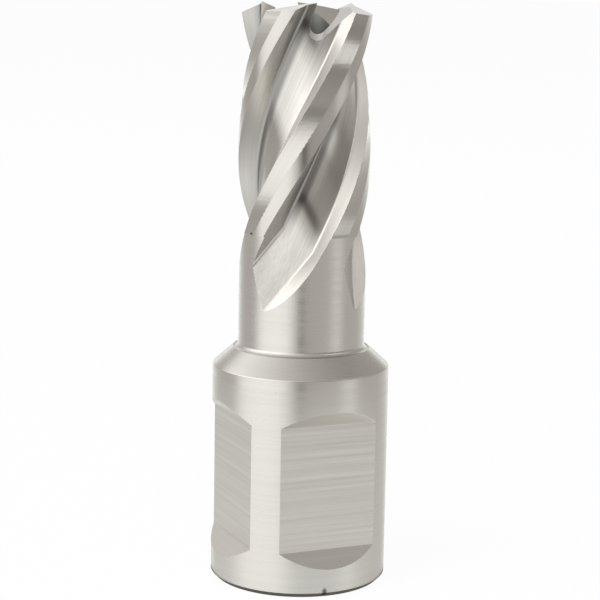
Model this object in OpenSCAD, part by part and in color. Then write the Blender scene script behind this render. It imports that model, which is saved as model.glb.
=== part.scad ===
// Annular cutter: shank with two drive flats, neck and fluted cutting head,
// turned, milled and ground from one blank. The tool stands on its shank, teeth up.

/* [Tool] */
// Overall length, shank end to tooth tips
tool_len = 62; // [56:0.5:80]
// Cutting diameter over the tooth margins
cut_d = 14; // [13.6:0.1:16]

/* [Shank] */
// Shank diameter
shank_d = 19.05; // [18:0.05:20]
// Length of the full round of the shank
shank_len = 23.4; // [22:0.05:24.5]
// Chamfer round the shank end
shank_chamfer = 0.5; // [0.2:0.1:1.2]
// Diameter of the neck behind the head
neck_d = 13.6; // [13:0.1:13.6]
// Slope of the shoulder from shank to neck, from the axis
shoulder_angle = 48.3; // [40:0.1:60]
// Radius in the corner between shoulder and neck
neck_fillet = 0.6; // [0.3:0.1:1.5]

/* [Drive flats] */
// Distance of each flat from the tool axis
flat_offset = 7.82; // [7:0.01:8.5]
// Height of the flat's lower end above the shank end
flat_bottom = 4.75; // [4:0.05:5.5]
// Length of the flat between its ramps
flat_len = 13.5; // [10:0.1:14.5]
// Slope of the ramp at each end of a flat, from the axis
flat_ramp = 45; // [35:1:60]
// Direction of the first flat round the axis
flat_turn = -66.6; // [-80:0.05:-50]
// Angle between the two flats
flat_spacing = 90; // [80:1:100]

/* [Bore] */
// Diameter of the pilot pin hole through the shank
pilot_d = 6.4; // [5.8:0.05:6.6]
// Diameter of the core bore in the head
core_d = 6.8; // [6.7:0.05:7.2]
// Depth of the core bore below the tooth tips
core_depth = 31; // [26:0.5:34]
// Chamfer where the pilot hole opens in the shank end
pilot_chamfer = 0.4; // [0.2:0.1:0.8]

/* [Flutes] */
// Number of teeth, one flute ahead of each
teeth = 4; // [4:1:4]
// Axial length of one full turn of a flute
flute_lead = 72; // [67:0.5:80]
// Direction of the first rake edge at the tip height
tooth_turn = -94.4; // [-110:0.1:-80]
// Angle from a rake edge to the middle of its flute
flute_centre = 30.15; // [28:0.05:32]
// Distance of the middle of the flute floor from the tool axis
flute_floor = 4.92; // [4.8:0.01:5.2]
// Width of the flute floor from its middle to the rake wall
rake_floor = 1.95; // [1.8:0.01:2.05]
// Width of the flute floor from its middle to the heel wall
heel_floor = 2.15; // [2:0.01:2.25]
// Rise of the flute floor towards the heel side
floor_tilt = 8.5; // [4:0.5:11]
// Slope of the rake wall, from the tangent at the flute's middle
rake_wall = 56; // [52:0.5:60]
// Slope of the wall on the heel side of the flute, from the same tangent
heel_wall = 50; // [46:0.5:54]
// Radius between the flute floor and its walls
floor_fillet = 0.45; // [0.2:0.05:0.6]
// Radius of the wheel that ground the flutes and left their run-out
wheel_r = 47; // [35:1:60]
// Tilt of that wheel to the tool axis
wheel_tilt = 38.5; // [35:0.5:42]
// Height of the wheel's lowest point above the shank end when it was lifted out
flute_end = 37.55; // [36.5:0.05:39]

/* [Lands] */
// Length of the full-diameter head below the tooth tips
head_len = 24.2; // [22:0.1:25.5]
// Angle of the margin behind each rake edge, at full diameter
margin_angle = 12.6; // [10:0.1:16]
// Drop of the relieved land at the heel of a tooth, at the lower end of the head
land_relief = 0.15; // [0.08:0.01:0.18]
// The same drop at the tooth tips
tip_relief = 0.42; // [0.3:0.01:0.5]

/* [Teeth] */
// Distance of the ridge of a pointed tooth from the tool axis
point_r = 4.55; // [4.2:0.05:5]
// Outward slope of a pointed tooth
point_out = 19; // [15:0.5:23]
// Inward slope of a pointed tooth
point_in = 22; // [16:0.5:26]
// Distance of the ridge of a square tooth from the tool axis
square_r = 4.3; // [4:0.05:4.8]
// Outward slope of a square tooth
square_out = 10; // [6:0.5:14]
// Inward slope of a square tooth
square_in = 4; // [2:0.5:8]
// Relief angle behind the cutting edges
tooth_relief = 8; // [5:0.5:12]

/* [Gullets] */
// Lead of the inner cutting edge over the rake edge
gullet_lead = 1.45; // [1.2:0.05:1.7]
// Depth of the gullet below the tooth tips
gullet_depth = 3.9; // [3.4:0.1:4.4]
// Radius in the root of the gullet
gullet_root = 0.9; // [0.6:0.05:1.1]
// Lean of the inner rake face, from the axis
gullet_face = 17.7; // [12:0.1:22]
// Slope of the tooth's back out of the gullet
gullet_back = 37; // [33:0.5:42]
// Fall of the gullet towards the outside
gullet_fall = 20; // [14:1:26]

/* [Hidden] */
// Facets on a full circle
$fn = 96;
// Overlap of a cut past the surface it opens
over = 0.6;
cut_r = cut_d / 2;
shank_r = shank_d / 2;
neck_r = neck_d / 2;
pilot_r = pilot_d / 2;
core_r = core_d / 2;
pitch = 360 / teeth;
turn_per_mm = 360 / flute_lead;
head_bottom = tool_len - head_len;
core_bottom = tool_len - core_depth;
// Height where shoulder and neck would meet without the fillet
neck_foot = shank_len + (shank_r - neck_r) / tan(shoulder_angle);
// Height above the flute floor where the wheel's profile ends, well outside the head
wheel_top = cut_r - flute_floor + 1.6;
// Steps along the ground surfaces
flute_step = 1.2;
runout_len = 12.5;
runout_steps = 8;
flute_steps = ceil((tool_len + 4 - flute_end) / flute_step);
land_step = 1.2;
land_steps = ceil((tool_len + over - head_bottom + over) / land_step);

// Half section of the blank with its bore, right of the axis
module blank_section() {
    polygon([
        [pilot_r + pilot_chamfer, 0],
        [shank_r - shank_chamfer, 0],
        [shank_r, shank_chamfer],
        [shank_r, shank_len],
        [neck_r, neck_foot],
        [neck_r, head_bottom],
        [cut_r, head_bottom],
        [cut_r, tool_len + over],
        [core_r, tool_len + over],
        [core_r, core_bottom],
        [pilot_r, core_bottom - (core_r - pilot_r)],
        [pilot_r, pilot_chamfer]
    ]);
    neck_corner();
}

// Rounded corner between the shoulder and the neck
module neck_corner() {
    reach = neck_fillet * tan((90 - shoulder_angle) / 2);
    low = [neck_r + reach * sin(shoulder_angle), neck_foot - reach * cos(shoulder_angle)];
    difference() {
        polygon([[neck_r - 0.2, neck_foot - 0.2], low, [neck_r, neck_foot + reach], [neck_r - 0.2, neck_foot + reach]]);
        translate([neck_r + neck_fillet, neck_foot + reach]) circle(r = neck_fillet);
    }
}

module blank() {
    rotate_extrude() blank_section();
}

// Pocket of one drive flat with a ramp at each end
module drive_flat() {
    depth = shank_r - flat_offset + over;
    run = depth * tan(90 - flat_ramp);
    rotate([90, 0, 0]) linear_extrude(height = 2 * shank_r, center = true) polygon([
        [flat_offset, flat_bottom],
        [flat_offset + depth, flat_bottom - run],
        [flat_offset + depth, flat_bottom + flat_len + run],
        [flat_offset, flat_bottom + flat_len]
    ]);
}

// Points of an arc of the wheel's profile: centre, radius, first and last angle
function arc(c, r, a, b, n) = [for (i = [0 : n]) c + r * [cos(a + (b - a) * i / n), sin(a + (b - a) * i / n)]];
// Points between two ends, without the first
function run_of(p, q, n) = [for (i = [1 : n]) p + (q - p) * i / n];

// Profile of the wheel, across the flute and outward from the middle of its floor
function wheel_profile() =
    let (
        floor_way = [cos(floor_tilt), sin(floor_tilt)],
        floor_up = [-sin(floor_tilt), cos(floor_tilt)],
        rake_foot = -rake_floor * floor_way,
        heel_foot = heel_floor * floor_way,
        rake_reach = floor_fillet * tan((rake_wall + floor_tilt) / 2),
        heel_reach = floor_fillet * tan((heel_wall - floor_tilt) / 2),
        rake_top = [rake_foot[0] - (wheel_top - rake_foot[1]) / tan(rake_wall), wheel_top],
        heel_top = [heel_foot[0] + (wheel_top - heel_foot[1]) / tan(heel_wall), wheel_top],
        rake_mid = rake_foot + rake_reach * floor_way + floor_fillet * floor_up,
        heel_mid = heel_foot - heel_reach * floor_way + floor_fillet * floor_up,
        rake_arc = arc(rake_mid, floor_fillet, 270 - rake_wall, 270 + floor_tilt, 3),
        heel_arc = arc(heel_mid, floor_fillet, 270 + floor_tilt, 270 + heel_wall, 3)
    )
    concat(
        [[0, wheel_top + over], rake_top], run_of(rake_top, rake_arc[0], 4),
        [for (i = [1 : 3]) rake_arc[i]],
        run_of(rake_arc[3], heel_arc[0], 5),
        [for (i = [1 : 3]) heel_arc[i]],
        run_of(heel_arc[3], heel_top, 4)
    );

// A point of the wheel's profile, with the wheel turned by b about its own axis
function wheel_point(p, b) =
    let (
        rim = wheel_r - p[1],
        out = flute_floor + wheel_r - rim * cos(b),
        along = rim * sin(b)
    )
    [
        out,
        p[0] * cos(wheel_tilt) - along * sin(wheel_tilt),
        -p[0] * sin(wheel_tilt) - along * cos(wheel_tilt)
    ];

// A point turned about the tool axis and raised
function screwed(p, a, z) = [p[0] * cos(a) - p[1] * sin(a), p[0] * sin(a) + p[1] * cos(a), p[2] + z];

// Closed skin over rows of points, all rows with the same number of points
module skin(rows) {
    count = len(rows[0]);
    last = len(rows) - 1;
    points = [for (row = rows) each row];
    sides = [for (j = [0 : last - 1]) for (i = [0 : count - 1])
        let (
            k = (i + 1) % count,
            a = j * count + i,
            b = j * count + k,
            c = (j + 1) * count + k,
            d = (j + 1) * count + i
        )
        each [[a, b, c], [a, c, d]]];
    first_end = [for (i = [0 : count - 1]) (count - i) % count];
    last_end = [for (i = [0 : count - 1]) last * count + i];
    polyhedron(points = points, faces = concat([first_end], sides, [last_end]));
}

// Path of the wheel along one flute: out of the run-out, then up the helix past the tips
module flute() {
    profile = wheel_profile();
    runout = [for (j = [runout_steps : -1 : 1])
        let (b = asin(runout_len * j / runout_steps / wheel_r))
        [for (p = profile) screwed(wheel_point(p, b), -(tool_len - flute_end) * turn_per_mm, flute_end)]];
    helix = [for (j = [0 : flute_steps])
        let (z = flute_end + (tool_len + 4 - flute_end) * j / flute_steps)
        [for (p = profile) screwed(wheel_point(p, 0), (z - tool_len) * turn_per_mm, z)]];
    rotate(tooth_turn + flute_centre) skin(concat(runout, helix));
}

// Angle of the relieved part of a land, heel to margin
relieved = pitch - 2 * flute_centre - margin_angle;

// Profile of the wheel that relieves a land, from a heel at the given radius to the margin
function land_profile(heel_r) =
    let (
        heel = [heel_r, 0],
        margin = cut_r * [cos(relieved), sin(relieved)],
        along = (margin - heel) / norm(margin - heel),
        out = [along[1], -along[0]],
        back = heel - 0.8 * along,
        front = margin + 0.9 * along
    )
    [(back + front) / 2 + 1.2 * out, back + out, back, front, front + out];

// Flat grinding of the land behind one margin, screwed up the helix and deeper towards the tips
module land() {
    start = head_bottom - over;
    rows = [for (j = [0 : land_steps])
        let (
            z = start + (tool_len + 2 * over - start) * j / land_steps,
            drop = land_relief + (tip_relief - land_relief) * (z - head_bottom) / head_len
        )
        [for (p = land_profile(cut_r - drop)) screwed([p[0], p[1], 0], (z - tool_len) * turn_per_mm, z)]];
    rotate(tooth_turn + 2 * flute_centre) skin(rows);
}

// Everything above the two end slopes of one tooth, in front of and behind its cutting edges
module end_slopes(ridge_r, out_slope, in_slope) {
    inside = core_r * 0.6;
    outside = cut_r + 2;
    top = 4;
    translate([0, gullet_lead, tool_len]) rotate([90 + tooth_relief, 0, 0])
        translate([0, 0, -over]) linear_extrude(height = cut_r) polygon([
            [ridge_r, 0],
            [outside, -(outside - ridge_r) * tan(out_slope)],
            [outside, top],
            [inside, top],
            [inside, -(ridge_r - inside) * tan(in_slope)]
        ]);
}

// Gullet through the wall ahead of one tooth, falling towards the outside
module gullet() {
    top = gullet_depth + 4;
    inward = flute_floor + 2.2;
    outward = cut_r - flute_floor + 2.5;
    root_z = gullet_root - gullet_depth * cos(gullet_fall);
    root_y = gullet_lead + root_z * tan(gullet_face) + gullet_root / cos(gullet_face);
    root = arc([root_y, root_z], gullet_root, 180 - gullet_face, 270 + gullet_back, 10);
    face_top = [root[0][0] + top * tan(gullet_face), root[0][1] + top];
    back_top = [root[10][0] + (face_top[1] - root[10][1]) / tan(gullet_back), face_top[1]];
    translate([flute_floor, 0, tool_len]) rotate([0, gullet_fall, 0]) translate([-inward, 0, 0])
        rotate([90, 0, 90]) linear_extrude(height = inward + outward) polygon(concat(root, [back_top, face_top]));
}

module annular_cutter() {
    color("silver") difference() {
        difference() {
            difference() {
                blank();
                for (i = [0 : teeth - 1]) rotate(pitch * i) land();
            }
            for (i = [0 : teeth - 1]) rotate(pitch * i) flute();
        }
        for (i = [0 : teeth - 1]) rotate(tooth_turn + pitch * i) gullet();
        for (i = [0 : 2 : teeth - 1]) rotate(tooth_turn + pitch * i) end_slopes(square_r, square_out, square_in);
        for (i = [1 : 2 : teeth - 1]) rotate(tooth_turn + pitch * i) end_slopes(point_r, point_out, point_in);
        rotate(flat_turn) drive_flat();
        rotate(flat_turn - flat_spacing) drive_flat();
    }
}

annular_cutter();
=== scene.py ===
import math

import bmesh
import bpy
from mathutils import Matrix, Vector


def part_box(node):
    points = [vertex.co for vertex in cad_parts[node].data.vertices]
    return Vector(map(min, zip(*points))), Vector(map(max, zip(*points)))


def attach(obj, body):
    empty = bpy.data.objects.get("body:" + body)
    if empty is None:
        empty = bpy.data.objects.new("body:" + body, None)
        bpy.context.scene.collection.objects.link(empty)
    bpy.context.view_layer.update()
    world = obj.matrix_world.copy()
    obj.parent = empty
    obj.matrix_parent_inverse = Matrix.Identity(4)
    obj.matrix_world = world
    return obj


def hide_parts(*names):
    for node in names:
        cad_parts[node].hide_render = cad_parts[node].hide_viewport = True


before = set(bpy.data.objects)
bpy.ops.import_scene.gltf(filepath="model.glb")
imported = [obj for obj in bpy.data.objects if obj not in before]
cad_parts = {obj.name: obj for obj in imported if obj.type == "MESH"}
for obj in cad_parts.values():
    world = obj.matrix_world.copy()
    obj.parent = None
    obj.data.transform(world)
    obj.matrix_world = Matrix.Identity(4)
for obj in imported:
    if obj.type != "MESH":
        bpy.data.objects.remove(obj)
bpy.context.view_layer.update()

# Blank
# The tool starts as one bar of high-speed steel, turned to a shank, a shoulder, a neck
# and a slightly thicker head, and bored through for the pilot pin and the core.
mm = 0.001
low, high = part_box("annular_cutter")
tool_len = high[2]
shank_r = (high[0] - low[0]) / 2
shank_len = 23.4 * mm
shank_chamfer = 0.5 * mm
neck_r = 6.8 * mm
neck_round = 0.55 * mm
shoulder_slope = math.radians(48.3)
shoulder_top = shank_len + (shank_r - neck_r - neck_round) / math.tan(shoulder_slope)
cut_r = 7.0 * mm
head_len = 24.2 * mm
head_bottom = tool_len - head_len
core_r = 3.4 * mm
core_depth = 31 * mm
core_bottom = tool_len - core_depth
pilot_r = 3.2 * mm
pilot_chamfer = 0.4 * mm
edge_round = 0.1 * mm
edge_steps = 6
fillet_steps = 12
round_steps = 240
over = 0.6 * mm
merge_gap = 0.0005 * mm
TURNED, MILLED, FLUTE, RAKE, HEEL, LAND, RELIEF, TOOTH, BORE = range(9)


def arc(centre, radius, first, last, steps):
    # Points of an arc in a section, angles in degrees
    angles = [math.radians(first + (last - first) * i / steps) for i in range(steps + 1)]
    return [
        Vector((centre[0] + radius * math.cos(a), centre[1] + radius * math.sin(a)))
        for a in angles
    ]


def rounded(before, corner, after, radius, steps):
    # Points of the round that replaces a corner of a section
    corner = Vector(corner)
    to_before = (Vector(before) - corner).normalized()
    to_after = (Vector(after) - corner).normalized()
    half = to_before.angle(to_after) / 2
    centre = corner + (to_before + to_after).normalized() * radius / math.sin(half)
    start = corner + to_before * radius / math.tan(half) - centre
    end = corner + to_after * radius / math.tan(half) - centre
    first = math.degrees(math.atan2(start[1], start[0]))
    last = math.degrees(math.atan2(end[1], end[0]))
    last += 360 * round((first - last) / 360)
    return arc(centre, radius, first, last, steps)


def draw_loop(name, points):
    # A closed chain of edges, extruded point by point from a single corner
    bpy.ops.object.select_all(action="DESELECT")
    bpy.ops.mesh.primitive_plane_add(size=mm)
    piece = bpy.context.object
    piece.name = name
    bpy.ops.object.mode_set(mode="EDIT")
    bpy.ops.mesh.select_all(action="SELECT")
    bpy.ops.mesh.merge(type="CENTER")
    bpy.ops.transform.translate(value=points[0])
    for before, after in zip(points, points[1:] + points[:1]):
        bpy.ops.mesh.extrude_region_move(TRANSFORM_OT_translate={"value": after - before})
    bpy.ops.mesh.select_all(action="SELECT")
    bpy.ops.mesh.remove_doubles(threshold=merge_gap)
    return piece


def close_shape(piece, finish):
    # Ends edit mode with doubles merged, faces outward and one finish all over
    bpy.ops.mesh.select_all(action="SELECT")
    bpy.ops.mesh.remove_doubles(threshold=merge_gap)
    bpy.ops.mesh.normals_make_consistent(inside=False)
    bpy.ops.object.mode_set(mode="OBJECT")
    for face in piece.data.polygons:
        face.material_index = finish


end_face = (pilot_r + pilot_chamfer, 0)
end_edge = (shank_r - shank_chamfer, 0)
chamfer_edge = (shank_r, shank_chamfer)
shoulder_edge = (shank_r, shank_len)
neck_edge = (neck_r + neck_round, shoulder_top)
section = [Vector(end_face)]
section += rounded(end_face, end_edge, chamfer_edge, edge_round, edge_steps)
section += rounded(end_edge, chamfer_edge, shoulder_edge, edge_round, edge_steps)
section += rounded(chamfer_edge, shoulder_edge, neck_edge, 2 * edge_round, edge_steps)
section += arc((neck_edge[0], shoulder_top + neck_round), neck_round, 270, 180, fillet_steps)
section += [Vector(p) for p in [
    (neck_r, head_bottom),
    (cut_r, head_bottom),
    (cut_r, tool_len + over),
    (core_r, tool_len + over),
    (core_r, core_bottom),
    (pilot_r, core_bottom - core_r + pilot_r),
    (pilot_r, pilot_chamfer),
]]
cutter = draw_loop("annular_cutter_steel", [Vector((p[0], 0, p[1])) for p in section])
bpy.ops.mesh.spin(steps=round_steps, angle=2 * math.pi, center=(0, 0, 0), axis=(0, 0, 1))
close_shape(cutter, TURNED)
for face in cutter.data.polygons:
    reach = Vector(face.center[:2]).length
    if reach < pilot_r + pilot_chamfer:
        face.material_index = BORE
    elif reach > neck_r and face.center[2] > head_bottom:
        face.material_index = LAND
for finish in (
    "turned_steel", "milled_steel", "flute_steel", "rake_steel", "heel_steel_painted_light",
    "land_steel", "relief_steel", "tooth_steel", "bore_steel_painted_dark",
):
    cutter.data.materials.append(bpy.data.materials.new(finish))

# Drive flats
# Two flats at a right angle are milled across the shank, each with a sloping end, and take
# the set screws of the arbor.
flat_offset = 7.82 * mm
flat_bottom = 4.75 * mm
flat_len = 13.5 * mm
flat_turn = math.radians(-66.6)
flat_depth = shank_r - flat_offset + over
flat_loop = [
    (flat_offset, flat_bottom),
    (flat_offset + flat_depth, flat_bottom - flat_depth),
    (flat_offset + flat_depth, flat_bottom + flat_len + flat_depth),
    (flat_offset, flat_bottom + flat_len),
]


def turned_copies(shape, angles):
    # The shape and its copies round the tool axis, each with its own mesh
    copies = [shape]
    for _ in angles[1:]:
        copy = shape.copy()
        copy.data = shape.data.copy()
        bpy.context.collection.objects.link(copy)
        copies.append(copy)
    for copy, angle in zip(copies, angles):
        copy.data.transform(Matrix.Rotation(angle, 4, "Z"))
    return copies


def cut_away(shapes):
    # Cuts the shapes out of the tool; the cut faces keep the finish of their shape
    bpy.ops.object.select_all(action="DESELECT")
    cutter.select_set(True)
    bpy.context.view_layer.objects.active = cutter
    for shape in shapes:
        for material in cutter.data.materials:
            shape.data.materials.append(material)
        cut = cutter.modifiers.new("cut", "BOOLEAN")
        cut.operation = "DIFFERENCE"
        cut.solver = "EXACT"
        cut.object = shape
        bpy.ops.object.modifier_apply(modifier=cut.name)
        bpy.data.objects.remove(shape)


drive_flat = draw_loop("drive_flat", [Vector((p[0], -shank_r, p[1])) for p in flat_loop])
bpy.ops.mesh.edge_face_add()
bpy.ops.mesh.extrude_region_move(TRANSFORM_OT_translate={"value": (0, 2 * shank_r, 0)})
close_shape(drive_flat, MILLED)
cut_away(turned_copies(drive_flat, [flat_turn, flat_turn - math.pi / 2]))

# Teeth
# A gullet is ground through the wall ahead of each tooth; the ends are ground in turn to a
# pointed and to a square tooth, with relief behind the cutting edge.
teeth = 4
pitch = 2 * math.pi / teeth
tooth_turn = math.radians(-94.4)
tooth_angles = [tooth_turn + pitch * i for i in range(teeth)]
flute_floor = 4.92 * mm
gullet_lead = 1.45 * mm
gullet_depth = 3.9 * mm
gullet_root = 0.9 * mm
gullet_steps = 16
gullet_face = math.radians(17.7)
gullet_back = math.radians(37)
gullet_fall = math.radians(20)
gullet_in = flute_floor + 2.2 * mm
gullet_len = gullet_in + cut_r - flute_floor + 2.5 * mm
past_tip = 4 * mm
tooth_inside = core_r * 0.6
tooth_outside = cut_r + 2 * mm
tooth_relief = math.radians(8)
tooth_forms = [
    {"ridge": 4.3 * mm, "outward": math.radians(10), "inward": math.radians(4)},
    {"ridge": 4.55 * mm, "outward": math.radians(19), "inward": math.radians(22)},
]

root_z = gullet_root - gullet_depth * math.cos(gullet_fall)
root_y = gullet_lead + root_z * math.tan(gullet_face) + gullet_root / math.cos(gullet_face)
root_start = 180 - math.degrees(gullet_face)
root_end = 270 + math.degrees(gullet_back)
root = arc((root_y, root_z), gullet_root, root_start, root_end, gullet_steps)
rise = gullet_depth + past_tip
face_top = root[0] + Vector((rise * math.tan(gullet_face), rise))
back_top = Vector((root[-1][0] + (face_top[1] - root[-1][1]) / math.tan(gullet_back), face_top[1]))
gullet = draw_loop("gullet", [Vector((0, p[0], p[1])) for p in root + [back_top, face_top]])
bpy.ops.mesh.edge_face_add()
bpy.ops.mesh.extrude_region_move(TRANSFORM_OT_translate={"value": (gullet_len, 0, 0)})
close_shape(gullet, TOOTH)
gullet.data.transform(Matrix.Translation((-gullet_in, 0, 0)))
gullet.data.transform(Matrix.Rotation(gullet_fall, 4, "Y"))
gullet.data.transform(Matrix.Translation((flute_floor, 0, tool_len)))
cut_away(turned_copies(gullet, tooth_angles))

for first, form in enumerate(tooth_forms):
    slopes = [
        (form["ridge"], 0),
        (tooth_outside, -(tooth_outside - form["ridge"]) * math.tan(form["outward"])),
        (tooth_outside, past_tip),
        (tooth_inside, past_tip),
        (tooth_inside, -(form["ridge"] - tooth_inside) * math.tan(form["inward"])),
    ]
    tooth_end = draw_loop("tooth_end", [Vector((p[0], p[1], -over)) for p in slopes])
    bpy.ops.mesh.edge_face_add()
    bpy.ops.mesh.extrude_region_move(TRANSFORM_OT_translate={"value": (0, 0, cut_r)})
    close_shape(tooth_end, TOOTH)
    tooth_end.data.transform(Matrix.Rotation(math.pi / 2 + tooth_relief, 4, "X"))
    tooth_end.data.transform(Matrix.Translation((0, gullet_lead, tool_len)))
    cut_away(turned_copies(tooth_end, tooth_angles[first::2]))

# Lands
# Behind each rake edge a narrow margin keeps the full diameter, and the rest of the land
# is ground lower along the same helix, deepest at the heel of the tooth tips.
flute_lead = 72 * mm
turn_per_m = 2 * math.pi / flute_lead
flute_centre = math.radians(30.15)
margin_angle = math.radians(12.6)
land_angle = pitch - 2 * flute_centre - margin_angle
land_relief = 0.15 * mm
tip_relief = 0.42 * mm
past_heel_mm = 0.7
past_margin_mm = 0.9
helix_step = 0.5 * mm


def sweep_up(start, end):
    # Extrudes the selected face up the helix of the flutes in short turns
    count = math.ceil((end - start) / helix_step)
    rise = (end - start) / count
    for _ in range(count):
        bpy.ops.mesh.extrude_region_move(TRANSFORM_OT_translate={"value": (0, 0, rise)})
        bpy.ops.transform.rotate(
            value=-rise * turn_per_m, orient_axis="Z", center_override=(0, 0, 0),
        )


heel = Vector((cut_r - land_relief, 0))
margin = Vector((cut_r * math.cos(land_angle), cut_r * math.sin(land_angle)))
along = (margin - heel).normalized()
out = Vector((along[1], -along[0]))
heel_end = heel - along * past_heel_mm * mm
margin_end = margin + along * past_margin_mm * mm
land_foot = head_bottom - over
land_top = tool_len + 2 * over
land_loop = (heel_end, margin_end, margin_end + out * mm, heel_end + out * mm)
land = draw_loop("land", [Vector((p[0], p[1], land_foot)) for p in land_loop])
bpy.ops.mesh.edge_face_add()
sweep_up(land_foot, land_top)
shape = bmesh.from_edit_mesh(land.data)
for vert in shape.verts:
    helix_turn = (vert.co[2] - land_foot) * turn_per_m
    swept = math.remainder(math.atan2(vert.co[1], vert.co[0]) - helix_turn, 2 * math.pi)
    height = (vert.co[2] - head_bottom) / (tool_len - head_bottom)
    drop = (tip_relief - land_relief) * height * (1 - swept / land_angle)
    vert.co.xy *= 1 - drop / cut_r
bmesh.update_edit_mesh(land.data)
close_shape(land, RELIEF)
land_turn = 2 * flute_centre + (land_foot - tool_len) * turn_per_m
cut_away(turned_copies(land, [a + land_turn for a in tooth_angles]))

# Flutes
# Four helical flutes are ground by a tilted wheel with a flat rim; the wheel leaves a long
# curved run-out in the neck where it was lifted out.
rake_floor = 1.95 * mm
heel_floor = 2.15 * mm
floor_tilt = 8.5
rake_wall = 56
heel_wall = 50
floor_fillet = 0.45 * mm
rake_steps = 12
heel_steps = 8
wheel_r = 47 * mm
wheel_tilt = math.radians(38.5)
wheel_top = cut_r - flute_floor + 1.6 * mm
wheel_gap = 0.6 * mm
flute_len = 24.45 * mm
flute_end = tool_len - flute_len
runout_len = 12.5 * mm
runout_angle = math.asin(runout_len / wheel_r)
runout_steps = 24
end_plane_gap = 0.001 * mm
wall_lean = 0.5


def evenly(points, gap):
    # The points with others set between them, no farther apart than the gap
    filled = points[:1]
    for before, after in zip(points, points[1:]):
        count = math.ceil((after - before).length / gap)
        filled += [before.lerp(after, i / count) for i in range(1, count + 1)]
    return filled


floor_way = Vector((math.cos(math.radians(floor_tilt)), math.sin(math.radians(floor_tilt))))
floor_up = Vector((-floor_way[1], floor_way[0]))
rake_foot = -rake_floor * floor_way
heel_foot = heel_floor * floor_way
rake_reach = floor_fillet * math.tan(math.radians(rake_wall + floor_tilt) / 2)
heel_reach = floor_fillet * math.tan(math.radians(heel_wall - floor_tilt) / 2)
rake_mid = rake_foot + rake_reach * floor_way + floor_fillet * floor_up
heel_mid = heel_foot - heel_reach * floor_way + floor_fillet * floor_up
rake_run = (wheel_top - rake_foot[1]) / math.tan(math.radians(rake_wall))
heel_run = (wheel_top - heel_foot[1]) / math.tan(math.radians(heel_wall))
wheel_edge = [Vector((rake_foot[0] - rake_run, wheel_top))]
wheel_edge += arc(rake_mid, floor_fillet, 270 - rake_wall, 270 + floor_tilt, rake_steps)
wheel_edge += arc(heel_mid, floor_fillet, 270 + floor_tilt, 270 + heel_wall, heel_steps)
wheel_edge += [Vector((heel_foot[0] + heel_run, wheel_top))]
wheel_axis = Vector((0, math.cos(wheel_tilt), -math.sin(wheel_tilt)))
lift = Vector((flute_floor, 0, flute_end))
wheel_points = evenly(wheel_edge, wheel_gap)
flute = draw_loop("flute", [lift + wheel_axis * p[0] + Vector((p[1], 0, 0)) for p in wheel_points])
bpy.ops.mesh.select_all(action="SELECT")
bpy.ops.mesh.spin(
    steps=runout_steps, angle=runout_angle,
    center=lift + Vector((wheel_r, 0, 0)), axis=wheel_axis,
)
bpy.ops.mesh.edge_face_add()
bpy.ops.mesh.select_all(action="DESELECT")
shape = bmesh.from_edit_mesh(flute.data)
flute_way = Vector((0, math.sin(wheel_tilt), math.cos(wheel_tilt)))
for vert in shape.verts:
    vert.select = abs((vert.co - lift).dot(flute_way)) < end_plane_gap
shape.select_flush(True)
bmesh.update_edit_mesh(flute.data)
bpy.ops.mesh.edge_face_add()
sweep_up(flute_end, tool_len + past_tip)
close_shape(flute, FLUTE)
for face in flute.data.polygons:
    outward = Vector((face.center.x, face.center.y, 0)).normalized()
    across = Vector((-outward.y, outward.x, -math.tan(wheel_tilt))) * math.cos(wheel_tilt)
    if face.normal.dot(across) < -wall_lean:
        face.material_index = RAKE
    elif face.normal.dot(across) > wall_lean:
        face.material_index = HEEL
flute_turn = flute_centre + (flute_end - tool_len) * turn_per_m
cut_away(turned_copies(flute, [a + flute_turn for a in tooth_angles]))

# Finished tool
# Slivers left by the cuts are merged. Edges between two finishes stay sharp, apart from
# those inside a flute, and the rest is shaded smooth.
clean_gap = 0.002 * mm
smooth_angle = math.radians(10)
bpy.ops.object.select_all(action="DESELECT")
cutter.select_set(True)
bpy.context.view_layer.objects.active = cutter
bpy.ops.object.mode_set(mode="EDIT")
bpy.ops.mesh.select_all(action="SELECT")
bpy.ops.mesh.remove_doubles(threshold=clean_gap)
bpy.ops.mesh.dissolve_degenerate(threshold=clean_gap)
bpy.ops.mesh.select_all(action="DESELECT")
shape = bmesh.from_edit_mesh(cutter.data)
for edge in shape.edges:
    finishes = {face.material_index for face in edge.link_faces}
    edge.select = len(finishes) > 1 and not finishes <= {FLUTE, RAKE, HEEL}
bmesh.update_edit_mesh(cutter.data)
bpy.ops.mesh.mark_sharp()
bpy.ops.object.mode_set(mode="OBJECT")
bpy.ops.object.shade_smooth_by_angle(angle=smooth_angle)
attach(cutter, "root")
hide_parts("annular_cutter")

# Steel finishes
# One bare steel; the marks of turning, milling and grinding, the tone and the gloss differ. Some
# tones are painted light and shade: the heel walls are painted lighter, the flute floors, rake
# walls and bore darker.
steel = (0.58, 0.56, 0.53)
tone_low = 0.6
tone_high = 1.4
no_pits = 1.1
few_pits = 0.8
pit_tone = 0.6
nick_tone = 0.25
nick_core = 0.4


def put(tree, kind, **settings):
    # A node with its settings
    made = tree.nodes.new(kind)
    for key, value in settings.items():
        setattr(made, key, value)
    return made


def new_group(name, inputs, outputs):
    # A node group with named sockets, and its two end nodes
    tree = bpy.data.node_groups.new(name, "ShaderNodeTree")
    for label, kind in inputs:
        tree.interface.new_socket(name=label, in_out="INPUT", socket_type=kind)
    for label, kind in outputs:
        tree.interface.new_socket(name=label, in_out="OUTPUT", socket_type=kind)
    return tree, put(tree, "NodeGroupInput"), put(tree, "NodeGroupOutput")


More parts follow.
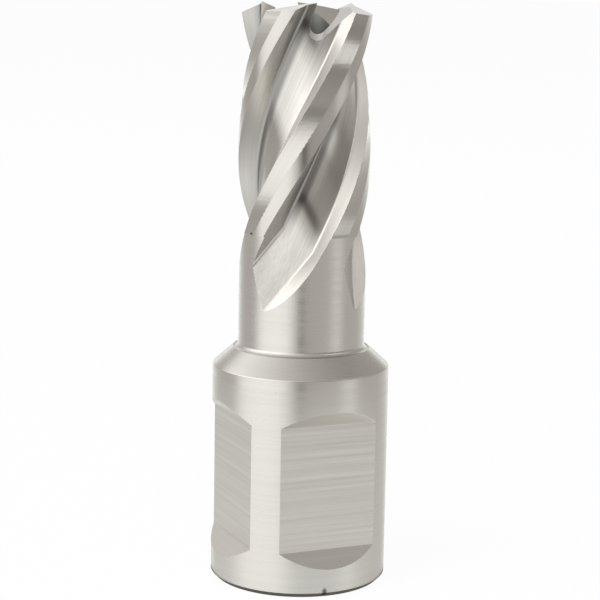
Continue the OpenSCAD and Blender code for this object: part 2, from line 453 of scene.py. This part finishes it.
# Undoes the twist of the flutes, so that their marks can be drawn straight
untwist, start, end = new_group(
    "untwisted_place",
    [("Place", "NodeSocketVector"), ("Turn", "NodeSocketFloat")],
    [("Place", "NodeSocketVector")],
)
split = put(untwist, "ShaderNodeSeparateXYZ")
angle = put(untwist, "ShaderNodeMath", operation="MULTIPLY")
turn_back = put(untwist, "ShaderNodeVectorRotate", rotation_type="Z_AXIS")
untwist.links.new(start.outputs["Place"], split.inputs["Vector"])
untwist.links.new(split.outputs["Z"], angle.inputs[0])
untwist.links.new(start.outputs["Turn"], angle.inputs[1])
untwist.links.new(start.outputs["Place"], turn_back.inputs["Vector"])
untwist.links.new(angle.outputs[0], turn_back.inputs["Angle"])
untwist.links.new(turn_back.outputs[0], end.inputs["Place"])

# Fine and broad streaks, drawn out by the stretch of each finish
marks, start, end = new_group(
    "tool_marks",
    [("Place", "NodeSocketVector"), ("Stretch", "NodeSocketVector")],
    [("Height", "NodeSocketFloat"), ("Tone", "NodeSocketFloat")],
)
spread = put(marks, "ShaderNodeVectorMath", operation="MULTIPLY")
fine = put(marks, "ShaderNodeTexNoise")
fine.inputs["Scale"].default_value = 1.0
fine.inputs["Detail"].default_value = 4.0
fine.inputs["Roughness"].default_value = 0.65
broad = put(marks, "ShaderNodeTexNoise")
broad.inputs["Scale"].default_value = 0.13
broad.inputs["Detail"].default_value = 2.0
both = put(marks, "ShaderNodeMath", operation="ADD")
marks.links.new(start.outputs["Place"], spread.inputs[0])
marks.links.new(start.outputs["Stretch"], spread.inputs[1])
marks.links.new(spread.outputs[0], fine.inputs["Vector"])
marks.links.new(spread.outputs[0], broad.inputs["Vector"])
marks.links.new(fine.outputs["Fac"], end.inputs["Height"])
marks.links.new(fine.outputs["Fac"], both.inputs[0])
marks.links.new(broad.outputs["Fac"], both.inputs[1])
marks.links.new(both.outputs[0], end.inputs["Tone"])

# A few small pits, and three nicks at places of their own
wear, start, end = new_group(
    "small_wear",
    [("Place", "NodeSocketVector"), ("Unpitted", "NodeSocketFloat")],
    [("Clean", "NodeSocketFloat")],
)
grains = put(wear, "ShaderNodeTexVoronoi")
grains.inputs["Scale"].default_value = 420
pit = put(wear, "ShaderNodeMapRange", interpolation_type="SMOOTHSTEP")
pit.inputs["From Min"].default_value = 0.03
pit.inputs["From Max"].default_value = 0.07
pit.inputs["To Min"].default_value = pit_tone
few = put(wear, "ShaderNodeSeparateColor")
chosen = put(wear, "ShaderNodeMath", operation="LESS_THAN")
clean = put(wear, "ShaderNodeMath", operation="MAXIMUM")
wear.links.new(start.outputs["Place"], grains.inputs["Vector"])
wear.links.new(grains.outputs["Distance"], pit.inputs["Value"])
wear.links.new(grains.outputs["Color"], few.inputs["Color"])
wear.links.new(few.outputs[0], chosen.inputs[0])
wear.links.new(start.outputs["Unpitted"], chosen.inputs[1])
wear.links.new(pit.outputs["Result"], clean.inputs[0])
wear.links.new(chosen.outputs[0], clean.inputs[1])
nicks = [
    {"radius": 6.9 * mm, "turn": -51.5, "height": 38.0 * mm, "reach": 0.4 * mm, "flatness": 2.4},
    {"radius": 9.4 * mm, "turn": 18, "height": 0.6 * mm, "reach": 0.4 * mm, "flatness": 0.6},
    {"radius": 8.2 * mm, "turn": 26.75, "height": 24.1 * mm, "reach": 0.12 * mm, "flatness": 1},
]
for nick in nicks:
    turn = math.radians(nick["turn"])
    flattened = put(wear, "ShaderNodeVectorMath", operation="MULTIPLY")
    flattened.inputs[1].default_value = (1, 1, nick["flatness"])
    spot = put(wear, "ShaderNodeVectorMath", operation="DISTANCE")
    spot.inputs[1].default_value = (
        nick["radius"] * math.sin(turn),
        -nick["radius"] * math.cos(turn),
        nick["height"] * nick["flatness"],
    )
    chip = put(wear, "ShaderNodeMapRange", interpolation_type="SMOOTHSTEP")
    chip.inputs["From Min"].default_value = nick["reach"] * nick_core
    chip.inputs["From Max"].default_value = nick["reach"]
    chip.inputs["To Min"].default_value = nick_tone
    worn = put(wear, "ShaderNodeMath", operation="MULTIPLY")
    wear.links.new(start.outputs["Place"], flattened.inputs[0])
    wear.links.new(flattened.outputs[0], spot.inputs[0])
    wear.links.new(spot.outputs["Value"], chip.inputs["Value"])
    wear.links.new(clean.outputs[0], worn.inputs[0])
    wear.links.new(chip.outputs["Result"], worn.inputs[1])
    clean = worn
wear.links.new(clean.outputs[0], end.inputs["Clean"])

# Painted shade: a dark band along the root of each rake wall, standing in for the shade in the
# flute corner, which fades out in the run-out
root_painted_shade, start, end = new_group(
    "flute_root_painted_shade",
    [("Place", "NodeSocketVector")],
    [("Clear", "NodeSocketFloat")],
)
painted_shade_shift = 0.1
painted_shade_half = 0.04
painted_shade_fade = 0.2
painted_shade_start = flute_end - 1 * mm
painted_shade_full = flute_end + 5 * mm
painted_shade_tone = 0.45
rake_corner = lift + wheel_axis * rake_foot[0] + Vector((rake_foot[1], 0, 0))
root_angle = math.atan2(rake_corner[1], rake_corner[0]) + flute_centre + tooth_turn
root_angle -= (tool_len + rake_corner[2] - flute_end) * turn_per_m
split = put(root_painted_shade, "ShaderNodeSeparateXYZ")
around = put(root_painted_shade, "ShaderNodeMath", operation="ARCTAN2")
from_root = put(root_painted_shade, "ShaderNodeMath", operation="SUBTRACT")
from_root.inputs[1].default_value = root_angle + painted_shade_shift
nearest = put(root_painted_shade, "ShaderNodeMath", operation="WRAP")
nearest.inputs[1].default_value = pitch / 2
nearest.inputs[2].default_value = -pitch / 2
either_side = put(root_painted_shade, "ShaderNodeMath", operation="ABSOLUTE")
painted_shade_band = put(root_painted_shade, "ShaderNodeMapRange", interpolation_type="SMOOTHSTEP")
painted_shade_band.inputs["From Min"].default_value = painted_shade_half
painted_shade_band.inputs["From Max"].default_value = painted_shade_fade
painted_shade_rise = put(root_painted_shade, "ShaderNodeMapRange", interpolation_type="SMOOTHSTEP")
painted_shade_rise.inputs["From Min"].default_value = painted_shade_start
painted_shade_rise.inputs["From Max"].default_value = painted_shade_full
painted_shade_rise.inputs["To Min"].default_value = 1.0
painted_shade_rise.inputs["To Max"].default_value = painted_shade_tone
root_painted_shade.links.new(start.outputs["Place"], split.inputs["Vector"])
root_painted_shade.links.new(split.outputs["Y"], around.inputs[0])
root_painted_shade.links.new(split.outputs["X"], around.inputs[1])
root_painted_shade.links.new(around.outputs[0], from_root.inputs[0])
root_painted_shade.links.new(from_root.outputs[0], nearest.inputs[0])
root_painted_shade.links.new(nearest.outputs[0], either_side.inputs[0])
root_painted_shade.links.new(either_side.outputs[0], painted_shade_band.inputs["Value"])
root_painted_shade.links.new(split.outputs["Z"], painted_shade_rise.inputs["Value"])
root_painted_shade.links.new(painted_shade_rise.outputs["Result"], painted_shade_band.inputs["To Min"])
root_painted_shade.links.new(painted_shade_band.outputs["Result"], end.inputs["Clear"])


def finish_steel(name, base, stretch, twist, depth, roughness, tone, edge):
    # Bare steel with the marks of one tool, drawn out along the tool's path
    material = bpy.data.materials[name]
    material.use_nodes = True
    tree = material.node_tree
    metal = tree.nodes["Principled BSDF"]
    metal.inputs["Metallic"].default_value = 1.0
    place = put(tree, "ShaderNodeTexCoord")
    straight = put(tree, "ShaderNodeGroup", node_tree=untwist)
    straight.inputs["Turn"].default_value = -twist
    lines = put(tree, "ShaderNodeGroup", node_tree=marks)
    lines.inputs["Stretch"].default_value = stretch
    colour = put(tree, "ShaderNodeMapRange")
    colour.inputs["From Min"].default_value = tone_low
    colour.inputs["From Max"].default_value = tone_high
    colour.inputs["To Min"].default_value = base * (1.0 - tone)
    colour.inputs["To Max"].default_value = base * (1.0 + tone)
    use = put(tree, "ShaderNodeGroup", node_tree=wear)
    use.inputs["Unpitted"].default_value = no_pits if twist else few_pits
    worn = put(tree, "ShaderNodeMath", operation="MULTIPLY")
    shade = put(tree, "ShaderNodeVectorMath", operation="SCALE")
    shade.inputs[0].default_value = steel
    gloss = put(tree, "ShaderNodeMapRange")
    gloss.inputs["From Min"].default_value = tone_low
    gloss.inputs["From Max"].default_value = tone_high
    gloss.inputs["To Min"].default_value = roughness * 1.2
    gloss.inputs["To Max"].default_value = roughness * 0.8
    soft_edge = put(tree, "ShaderNodeBevel", samples=6)
    soft_edge.inputs["Radius"].default_value = edge
    bump = put(tree, "ShaderNodeBump")
    bump.inputs["Strength"].default_value = 1.0
    bump.inputs["Distance"].default_value = depth
    tree.links.new(place.outputs["Object"], straight.inputs["Place"])
    tree.links.new(straight.outputs["Place"], lines.inputs["Place"])
    tree.links.new(lines.outputs["Tone"], colour.inputs["Value"])
    tree.links.new(place.outputs["Object"], use.inputs["Place"])
    tree.links.new(colour.outputs["Result"], worn.inputs[0])
    tree.links.new(use.outputs["Clean"], worn.inputs[1])
    # The flute and rake finishes take the painted shade along the rake root
    if name in ("flute_steel", "rake_steel"):
        dark_root = put(tree, "ShaderNodeGroup", node_tree=root_painted_shade)
        darkened = put(tree, "ShaderNodeMath", operation="MULTIPLY")
        tree.links.new(straight.outputs["Place"], dark_root.inputs["Place"])
        tree.links.new(worn.outputs[0], darkened.inputs[0])
        tree.links.new(dark_root.outputs["Clear"], darkened.inputs[1])
        worn = darkened
    tree.links.new(worn.outputs[0], shade.inputs["Scale"])
    tree.links.new(shade.outputs[0], metal.inputs["Base Color"])
    tree.links.new(lines.outputs["Tone"], gloss.inputs["Value"])
    tree.links.new(gloss.outputs["Result"], metal.inputs["Roughness"])
    tree.links.new(lines.outputs["Height"], bump.inputs["Height"])
    tree.links.new(soft_edge.outputs["Normal"], bump.inputs["Normal"])
    tree.links.new(bump.outputs["Normal"], metal.inputs["Normal"])


finish_steel(
    "turned_steel", base=1.03, roughness=0.27, tone=0.03,
    stretch=(50, 50, 9000), twist=0, depth=0.0008 * mm, edge=0.05 * mm,
)
finish_steel(
    "milled_steel", base=1.1, roughness=0.38, tone=0.13,
    stretch=(120, 120, 16000), twist=0, depth=0.004 * mm, edge=0.05 * mm,
)
# The flute floors and rake walls get a slightly darker base than the lands: painted shade for the
# dim reflections inside the flutes.
finish_steel(
    "flute_steel", base=0.93, roughness=0.16, tone=0.16,
    stretch=(5000, 5000, 60), twist=turn_per_m, depth=0.002 * mm, edge=0.03 * mm,
)
finish_steel(
    "rake_steel", base=0.92, roughness=0.25, tone=0.1,
    stretch=(5000, 5000, 60), twist=turn_per_m, depth=0.0015 * mm, edge=0.03 * mm,
)
# The heel walls get a lighter base than the other ground faces: painted light, standing in for the
# soft box they mirror.
finish_steel(
    "heel_steel_painted_light", base=1.4, roughness=0.42, tone=0.04,
    stretch=(3000, 3000, 60), twist=turn_per_m, depth=0.0005 * mm, edge=0.03 * mm,
)
finish_steel(
    "land_steel", base=1.0, roughness=0.2, tone=0.04,
    stretch=(3000, 3000, 60), twist=turn_per_m, depth=0.0003 * mm, edge=0.03 * mm,
)
finish_steel(
    "relief_steel", base=1.0, roughness=0.2, tone=0.04,
    stretch=(3000, 3000, 60), twist=turn_per_m, depth=0.0003 * mm, edge=0.03 * mm,
)
finish_steel(
    "tooth_steel", base=1.0, roughness=0.22, tone=0.05,
    stretch=(5000, 5000, 900), twist=turn_per_m, depth=0.001 * mm, edge=0.03 * mm,
)
# The bore and the core get a much darker base: painted shade for the inside of the hole.
finish_steel(
    "bore_steel_painted_dark", base=0.48, roughness=0.4, tone=0.06,
    stretch=(50, 50, 5000), twist=0, depth=0.004 * mm, edge=0.05 * mm,
)

# Floor
# A plain white table that takes the soft shadow.
floor_size = 160
white_share = 0.96
bpy.ops.object.select_all(action="DESELECT")
bpy.ops.mesh.primitive_plane_add(size=floor_size)
floor = bpy.context.object
floor.name = "floor"
floor.visible_glossy = False
table = bpy.data.materials.new("white_table")
table.use_nodes = True
tree = table.node_tree
tree.nodes.clear()
matt = put(tree, "ShaderNodeBsdfDiffuse")
matt.inputs["Color"].default_value = (0.9, 0.9, 0.9, 1)
glow = put(tree, "ShaderNodeEmission")
glow.inputs["Color"].default_value = (1, 1, 1, 1)
path = put(tree, "ShaderNodeLightPath")
share = put(tree, "ShaderNodeMath", operation="MULTIPLY")
share.inputs[1].default_value = white_share
blend = put(tree, "ShaderNodeMixShader")
surface = put(tree, "ShaderNodeOutputMaterial")
tree.links.new(path.outputs["Is Camera Ray"], share.inputs[0])
tree.links.new(share.outputs[0], blend.inputs["Fac"])
tree.links.new(matt.outputs[0], blend.inputs[1])
tree.links.new(glow.outputs[0], blend.inputs[2])
tree.links.new(blend.outputs[0], surface.inputs["Surface"])
floor.data.materials.append(table)

# Contact shade
# The table under the shank end, dark as the chamfer mirrors it.
shade_r = 10.3 * mm


def only_mirrored(piece):
    # Leaves a piece of the stage to be seen in reflections alone
    piece.visible_camera = False
    piece.visible_diffuse = False
    piece.visible_shadow = False
    piece.visible_transmission = False


def glow_evenly(piece, name, colour, strength):
    # Gives a piece of the stage a material that glows in one colour
    material = bpy.data.materials.new(name)
    material.use_nodes = True
    tree = material.node_tree
    tree.nodes.clear()
    glow = put(tree, "ShaderNodeEmission")
    glow.inputs["Color"].default_value = (*colour, 1)
    glow.inputs["Strength"].default_value = strength
    surface = put(tree, "ShaderNodeOutputMaterial")
    tree.links.new(glow.outputs[0], surface.inputs["Surface"])
    piece.data.materials.append(material)


bpy.ops.object.select_all(action="DESELECT")
bpy.ops.mesh.primitive_circle_add(
    vertices=64, radius=shade_r, fill_type="NGON", location=(0, 0, 0),
)
shade_disc = bpy.context.object
shade_disc.name = "contact_shade"
only_mirrored(shade_disc)
glow_evenly(shade_disc, "table_in_shade", (0.16, 0.15, 0.14), 1)

# Light tent
# A round tent of light and grey panels that the bare steel mirrors: a wide soft box at the
# left and over the left shoulder, a strip light at the right, a dim side level with the camera.
tent_r = 1.5
bpy.ops.object.select_all(action="DESELECT")
bpy.ops.mesh.primitive_uv_sphere_add(segments=64, ring_count=32, radius=tent_r)
tent = bpy.context.object
tent.name = "light_tent"
bpy.ops.object.shade_smooth()
only_mirrored(tent)
panels = bpy.data.materials.new("tent_panels")
panels.use_nodes = True
tree = panels.node_tree
tree.nodes.clear()
under_lights = [
    (-180, 1.0), (-120, 0.95), (-60, 0.65), (0, 0.5), (50, 0.5), (80, 1.2), (120, 1.2), (180, 1.0),
]
low_lights = [
    (-180, 0.5), (-172, 0.6), (-165, 1.1), (-140, 0.85), (-100, 1.0), (-70, 1.35), (-30, 1.35),
    (-5, 1.1), (15, 1.0), (50, 1.0), (70, 1.15), (90, 0.95), (120, 0.8), (150, 0.75), (165, 1.1),
    (172, 0.6), (180, 0.5),
]
level_left = [
    (-180, 0.3), (-172, 0.35), (-166, 1.4), (-150, 0.95), (-130, 0.6), (-95, 0.5), (-78, 1.35),
    (-50, 1.45), (-25, 1.4), (-8, 0.65), (-3, 0.12), (3, 0.15),
]
level_back = [(120, 0.6), (150, 0.95), (165, 1.4), (172, 0.35), (180, 0.3)]
level_right = [(8, 0.48), (30, 0.55), (50, 0.6), (60, 0.95), (73, 0.95), (82, 0.55)]
eye_right = [(8, 0.45), (30, 0.42), (50, 0.32), (85, 0.35), (100, 0.5)]
level_lights = level_left + level_right + level_back
eye_lights = level_left + eye_right + level_back
upper_lights = [
    (-180, 1.2), (-160, 0.8), (-140, 0.5), (-125, 0.7), (-110, 1.6), (-70, 1.95), (-45, 1.95),
    (-10, 1.05), (10, 0.6), (30, 0.42), (50, 0.3), (70, 0.33), (90, 0.45), (110, 0.48), (150, 0.5),
    (180, 1.2),
]
high_lights = [
    (-180, 0.9), (-150, 0.8), (-115, 1.6), (-70, 1.95), (-45, 1.95), (-10, 1.05), (10, 0.65),
    (35, 0.65), (55, 1.0), (75, 1.2), (95, 0.85), (120, 0.45), (150, 0.5), (180, 0.9),
]
roof_lights = [(-1, 1.6), (0, 0.66), (1, 0.2)]
brightest = 2
place = put(tree, "ShaderNodeTexCoord")
ray = put(tree, "ShaderNodeVectorMath", operation="NORMALIZE")
split = put(tree, "ShaderNodeSeparateXYZ")
forward = put(tree, "ShaderNodeMath", operation="MULTIPLY")
forward.inputs[1].default_value = -1
azimuth = put(tree, "ShaderNodeMath", operation="ARCTAN2")
round_share = put(tree, "ShaderNodeMapRange")
round_share.inputs["From Min"].default_value = -math.pi
round_share.inputs["From Max"].default_value = math.pi
side_share = put(tree, "ShaderNodeMapRange")
side_share.inputs["From Min"].default_value = -1
side_share.inputs["From Max"].default_value = 1
tree.links.new(place.outputs["Object"], ray.inputs[0])
tree.links.new(ray.outputs[0], split.inputs[0])
tree.links.new(split.outputs["Y"], forward.inputs[0])
tree.links.new(split.outputs["X"], azimuth.inputs[0])
tree.links.new(forward.outputs[0], azimuth.inputs[1])
tree.links.new(azimuth.outputs[0], round_share.inputs["Value"])
tree.links.new(split.outputs["X"], side_share.inputs["Value"])


def light_ramp(lights, where):
    # A ramp of lights along one direction of the tent, the dim ones warmer
    ramp = put(tree, "ShaderNodeValToRGB")
    first = lights[0][0]
    last = lights[-1][0]
    stops = ramp.color_ramp.elements
    while len(stops) < len(lights):
        stops.new(0.5)
    for stop, (mark, value) in zip(stops, lights):
        stop.position = (mark - first) / (last - first)
        warm = max(0, 1 - value)
        tint = Vector((0.975 + 0.1 * warm, 0.985, 0.972 - 0.08 * warm))
        stop.color = (*(tint * value / brightest), 1)
    tree.links.new(where, ramp.inputs["Fac"])
    return ramp.outputs["Color"]


def above(lower, upper, start, full):
    # The upper lights over the lower ones, blended between two heights
    share = put(tree, "ShaderNodeMapRange", interpolation_type="SMOOTHSTEP")
    share.inputs["From Min"].default_value = start
    share.inputs["From Max"].default_value = full
    blend = put(tree, "ShaderNodeMix", data_type="RGBA")
    tree.links.new(split.outputs["Z"], share.inputs["Value"])
    tree.links.new(share.outputs["Result"], blend.inputs["Factor"])
    tree.links.new(lower, blend.inputs["A"])
    tree.links.new(upper, blend.inputs["B"])
    return blend.outputs["Result"]


walls = light_ramp(under_lights, round_share.outputs["Result"])
for lights, start, full in (
    (low_lights, -0.9, -0.7),
    (level_lights, -0.28, -0.14),
    (eye_lights, 0.01, 0.05),
    (upper_lights, 0.12, 0.28),
    (high_lights, 0.44, 0.52),
):
    walls = above(walls, light_ramp(lights, round_share.outputs["Result"]), start, full)
walls = above(walls, light_ramp(roof_lights, side_share.outputs["Result"]), 0.62, 0.8)
glow = put(tree, "ShaderNodeEmission")
glow.inputs["Strength"].default_value = brightest
surface = put(tree, "ShaderNodeOutputMaterial")
tree.links.new(walls, glow.inputs["Color"])
tree.links.new(glow.outputs[0], surface.inputs["Surface"])
tent.data.materials.append(panels)

# Fill card
# A small white card held close to the right of the teeth, which lightens one patch of the land.
card_turn = math.radians(57)
card_away = 60 * mm
card_up = 65.5 * mm
card_wide = 21
card_tall = 8
bpy.ops.object.select_all(action="DESELECT")
bpy.ops.mesh.primitive_plane_add(
    size=mm,
    location=(card_away * math.sin(card_turn), -card_away * math.cos(card_turn), card_up),
    rotation=(math.radians(90), 0, card_turn),
)
card = bpy.context.object
card.name = "fill_card"
card.scale = (card_wide, card_tall, 1)
only_mirrored(card)
glow_evenly(card, "white_card", (1, 1, 1), 1.4)

# Lamp and sky
# One soft box high at the left lights the table, with a white sky round it.
lamp_aim = Vector((0, 0, 0.03))
bpy.ops.object.light_add(type="AREA", location=(-0.5, -0.4, 0.9))
lamp = bpy.context.object
lamp.name = "soft_box"
lamp.data.size = 0.7
lamp.data.energy = 9
lamp.visible_glossy = False
lamp.rotation_euler = (lamp_aim - lamp.location).to_track_quat("-Z", "Y").to_euler()
sky = bpy.data.worlds.new("white_sky")
bpy.context.scene.world = sky
sky.use_nodes = True
tree = sky.node_tree
backdrop = tree.nodes["Background"]
backdrop.inputs["Color"].default_value = (1, 1, 1, 1)
path = put(tree, "ShaderNodeLightPath")
seen = put(tree, "ShaderNodeMath", operation="ADD")
clear = put(tree, "ShaderNodeMath", operation="ADD", use_clamp=True)
level = put(tree, "ShaderNodeMapRange")
level.inputs["To Min"].default_value = 0.45
level.inputs["To Max"].default_value = 1.0
tree.links.new(path.outputs["Is Camera Ray"], seen.inputs[0])
tree.links.new(path.outputs["Is Glossy Ray"], seen.inputs[1])
tree.links.new(seen.outputs[0], clear.inputs[0])
tree.links.new(path.outputs["Is Transmission Ray"], clear.inputs[1])
tree.links.new(clear.outputs[0], level.inputs["Value"])
tree.links.new(level.outputs["Result"], backdrop.inputs["Strength"])

# Camera
# Stands a little above the tool, looking slightly down at it.
camera_away = 191.1 * mm
camera_up = 62.7 * mm
camera_aside = -0.19 * mm
camera_dip = math.radians(9.62)
camera_roll = math.radians(1.02)
bpy.ops.object.camera_add(location=(0, -camera_away, camera_up))
camera = bpy.context.object
camera.data.lens = 107.9
sight = Vector((camera_aside, camera_away, -camera_away * math.tan(camera_dip)))
look = sight.to_track_quat("-Z", "Y").to_matrix()
camera.rotation_euler = (look @ Matrix.Rotation(camera_roll, 3, "Z")).to_euler()
bpy.context.scene.camera = camera
bpy.context.scene.view_settings.view_transform = "Standard"
